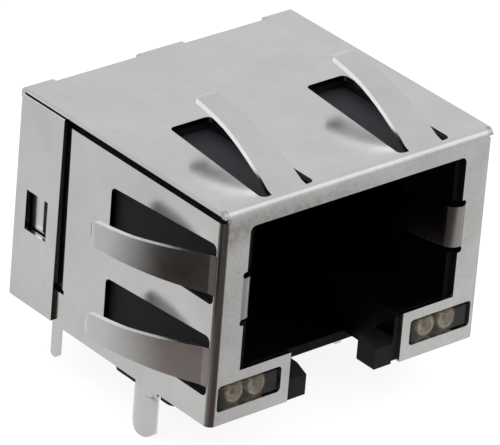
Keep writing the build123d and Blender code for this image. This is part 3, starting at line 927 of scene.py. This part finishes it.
def mirrored_floor(finish):
    """What the metal and the resin mirror: pale paper, with a dark studio corner at the left front.

    Its places are headings about the jack's left front corner, in degrees from the X axis, and
    distances from that corner in millimetres.
    """
    x, y, _ = finish.split(finish.offset_from(CORNER))
    distance = finish.math("SQRT", finish.math(
        "ADD", finish.math("MULTIPLY", x, x), finish.math("MULTIPLY", y, y)))
    angle = finish.math("ARCTAN2", y, x)
    below_first = finish.math("LESS_THAN", angle, math.radians(FIRST_HEADING))
    heading = finish.math("ADD", angle, finish.math("MULTIPLY", math.tau, below_first))

    def turning(start, end):
        return finish.remap(heading, math.radians(start), math.radians(end), smooth=True)

    in_front = turning(185, 235)
    depth = finish.math("MAXIMUM", finish.ramp(distance, 11.0, 17.0), in_front)
    dark = finish.mix(depth, CORNER_GREY, finish.mix(in_front, CORNER_BLACK, CORNER_BROWN))
    in_corner = finish.all_of(turning(126, 171), finish.ramp(distance, 46.0, 34.0))
    corner = finish.mix(in_corner, PAPER_WHITE, dark)
    right_front = finish.mix(turning(318, 352), PAPER_GREY, PAPER_WHITE)
    shown = finish.nodes.new("ShaderNodeEmission")
    finish.link(finish.mix(turning(290, 314), corner, right_front), shown.inputs["Color"])
    return shown.outputs[0]


def make_light(scene, settings):
    """Even light from all round, a soft lamp at the right front and one behind the left."""
    world = bpy.data.worlds.new("studio")
    world.use_nodes = True
    background = world.node_tree.nodes["Background"]
    background.inputs["Color"].default_value = (1.0, 1.0, 1.0, 1.0)
    background.inputs["Strength"].default_value = settings.world_light
    scene.world = world
    round_lamp(
        scene, "key_lamp", towards=(0.586, -0.55, 0.6), size=0.09, power=settings.key_light)
    round_lamp(
        scene, "rim_lamp", towards=(-0.47, 0.66, 0.59), size=0.05, power=settings.rim_light)


def round_lamp(scene, name, towards, size, power):
    """A round soft lamp that faces the jack from a direction."""
    lamp = bpy.data.lights.new(name, "AREA")
    lamp.shape = "DISK"
    lamp.size = size
    lamp.energy = power
    holder = bpy.data.objects.new(name, lamp)
    scene.collection.objects.link(holder)
    direction = Vector(towards).normalized()
    holder.location = direction * STUDIO_LAMP_DISTANCE
    holder.rotation_euler = direction.to_track_quat("Z", "Y").to_euler()


def make_camera(scene, settings):
    """The photograph's camera, solved from the shield's edges."""
    azimuth, elevation, roll = settings.azimuth, settings.elevation, settings.roll
    back = Vector((
        -math.sin(azimuth) * math.cos(elevation),
        -math.cos(azimuth) * math.cos(elevation),
        math.sin(elevation)))
    right = (-back).cross(Vector((0, 0, 1))).normalized()
    up = right.cross(-back)
    x_axis = math.cos(roll) * right + math.sin(roll) * up
    y_axis = -math.sin(roll) * right + math.cos(roll) * up
    camera = bpy.data.cameras.new("photo_camera")
    camera.sensor_width = CAMERA_SENSOR
    camera.lens = settings.lens
    camera.clip_start = 0.01
    camera.clip_end = 5.0
    holder = bpy.data.objects.new("photo_camera", camera)
    scene.collection.objects.link(holder)
    place = Vector(CAMERA_AIM) * MM + back * settings.distance
    place = place + x_axis * (CAMERA_ASIDE * MM) + y_axis * (CAMERA_ABOVE * MM)
    turn = Matrix((x_axis, y_axis, back)).transposed().to_4x4()
    holder.matrix_world = Matrix.Translation(place) @ turn
    scene.camera = holder


class JACK_PT_panel(bpy.types.Panel):
    """Buttons for each piece of the jack"""
    bl_idname = "JACK_PT_panel"
    bl_label = "Ethernet Jack"
    bl_space_type = "VIEW_3D"
    bl_region_type = "UI"
    bl_category = "Jack"

    def draw(self, context):
        for operator in OPERATORS:
            self.layout.operator(operator.bl_idname)


SETTINGS = (
    ("jack_shield", JackShieldSettings),
    ("jack_plastic", JackPlasticSettings),
    ("jack_contacts", JackContactSettings),
    ("jack_lamps", JackLampSettings),
    ("jack_stage", JackStageSettings),
)
OPERATORS = (
    JACK_OT_shield, JACK_OT_mouldings, JACK_OT_contacts, JACK_OT_lamps, JACK_OT_stage)


def register():
    for name, group in SETTINGS:
        bpy.utils.register_class(group)
        setattr(bpy.types.Scene, name, PointerProperty(type=group))
    for operator in OPERATORS:
        bpy.utils.register_class(operator)
    bpy.utils.register_class(JACK_PT_panel)


def unregister():
    bpy.utils.unregister_class(JACK_PT_panel)
    for operator in reversed(OPERATORS):
        bpy.utils.unregister_class(operator)
    for name, group in reversed(SETTINGS):
        delattr(bpy.types.Scene, name)
        bpy.utils.unregister_class(group)


def main():
    register()
    bpy.ops.jack.stage()
    bpy.ops.jack.shield()
    bpy.ops.jack.mouldings()
    bpy.ops.jack.contacts()
    bpy.ops.jack.lamps()


if __name__ == "__main__":
    main()
